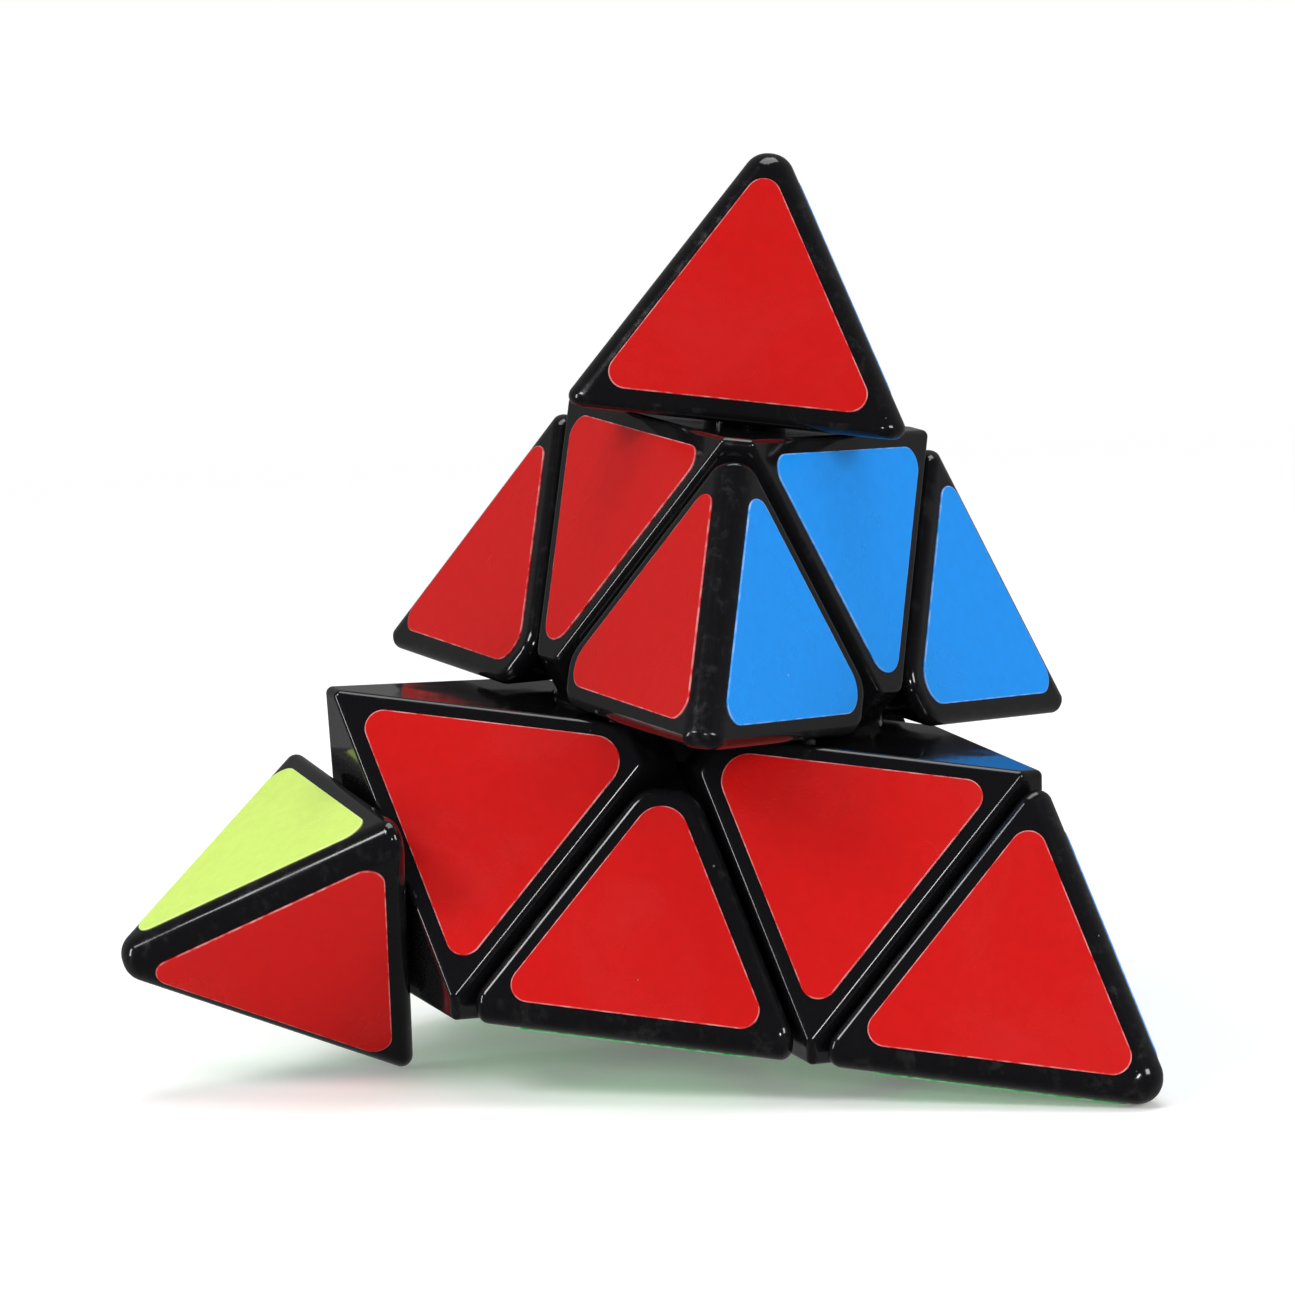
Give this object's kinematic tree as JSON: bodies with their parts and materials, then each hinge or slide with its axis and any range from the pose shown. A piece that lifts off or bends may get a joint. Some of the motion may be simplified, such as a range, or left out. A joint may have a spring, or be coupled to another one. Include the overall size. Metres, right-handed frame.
{
  "type": "pyramid twisty puzzle",
  "caption": "Black tetrahedral twisty puzzle with coloured triangular stickers; the top layer and the corner tips turn about axes through a hidden core.",
  "frame": {"origin": "centre of the core, where the four turning axes cross", "axes": "+Z out through the top corner; the flat base face looks along -Z; the front face looks toward -Y; +X to the right"},
  "size_m": [0.0915, 0.0867, 0.0824],
  "materials": {
    "black_plastic": "glossy moulded black, with fine handling scratches",
    "inner_plastic": "glossy black, lightly greased",
    "core_plastic": "satin black nylon",
    "screw_steel": "bright zinc plate",
    "spring_steel": "drawn wire",
    "red_vinyl": "semi-gloss vinyl sticker",
    "blue_vinyl": "semi-gloss vinyl sticker",
    "yellow_vinyl": "semi-gloss lime yellow vinyl sticker",
    "green_vinyl": "semi-gloss vinyl sticker"
  },
  "bodies": {
    "lower_layer": {"core_spider": "core_plastic", "axis_screws": "screw_steel", "axis_springs": "spring_steel", "axis_washers": "screw_steel", "axial_shell_left": "black_plastic", "axial_base_left": "inner_plastic", "axial_shell_right": "black_plastic", "axial_base_right": "inner_plastic", "axial_shell_back": "black_plastic", "axial_base_back": "inner_plastic", "edge_shell_left_right": "black_plastic", "edge_foot_left_right": "inner_plastic", "edge_shell_right_back": "black_plastic", "edge_foot_right_back": "inner_plastic", "edge_shell_left_back": "black_plastic", "edge_foot_left_back": "inner_plastic", "lower_layer_stickers_red": "red_vinyl", "lower_layer_stickers_blue": "blue_vinyl", "lower_layer_stickers_yellow": "yellow_vinyl", "lower_layer_stickers_green": "green_vinyl"},
    "top_layer": {"axial_shell_top": "black_plastic", "axial_base_top": "inner_plastic", "edge_shell_top_left": "black_plastic", "edge_foot_top_left": "inner_plastic", "edge_shell_top_right": "black_plastic", "edge_foot_top_right": "inner_plastic", "edge_shell_top_back": "black_plastic", "edge_foot_top_back": "inner_plastic", "top_layer_stickers_red": "red_vinyl", "top_layer_stickers_blue": "blue_vinyl", "top_layer_stickers_yellow": "yellow_vinyl"},
    "top_tip": {"tip_shell_top": "black_plastic", "tip_base_top": "inner_plastic", "tip_sticker_top_blue": "blue_vinyl", "tip_sticker_top_yellow": "yellow_vinyl", "tip_sticker_top_red": "red_vinyl"},
    "left_tip": {"tip_shell_left": "black_plastic", "tip_base_left": "inner_plastic", "tip_sticker_left_green": "green_vinyl", "tip_sticker_left_yellow": "yellow_vinyl", "tip_sticker_left_red": "red_vinyl"},
    "right_tip": {"tip_shell_right": "black_plastic", "tip_base_right": "inner_plastic", "tip_sticker_right_green": "green_vinyl", "tip_sticker_right_blue": "blue_vinyl", "tip_sticker_right_red": "red_vinyl"},
    "back_tip": {"tip_shell_back": "black_plastic", "tip_base_back": "inner_plastic", "tip_sticker_back_green": "green_vinyl", "tip_sticker_back_blue": "blue_vinyl", "tip_sticker_back_yellow": "yellow_vinyl"}
  },
  "joints": [
    {"name": "top_layer_turn", "type": "hinge", "parent": "lower_layer", "child": "top_layer", "pos_m": [0, 0, 0], "axis": [0, 0, 1], "continuous": true},
    {"name": "top_tip_turn", "type": "hinge", "parent": "top_layer", "child": "top_tip", "pos_m": [0, 0, 0], "axis": [0, 0, 1], "continuous": true},
    {"name": "left_tip_turn", "type": "hinge", "parent": "lower_layer", "child": "left_tip", "pos_m": [0, 0, 0], "axis": [-0.8165, -0.4714, -0.3333], "continuous": true},
    {"name": "right_tip_turn", "type": "hinge", "parent": "lower_layer", "child": "right_tip", "pos_m": [0, 0, 0], "axis": [0.8165, -0.4714, -0.3333], "continuous": true},
    {"name": "back_tip_turn", "type": "hinge", "parent": "lower_layer", "child": "back_tip", "pos_m": [0, 0, 0], "axis": [0, 0.9428, -0.3333], "continuous": true}
  ]
}
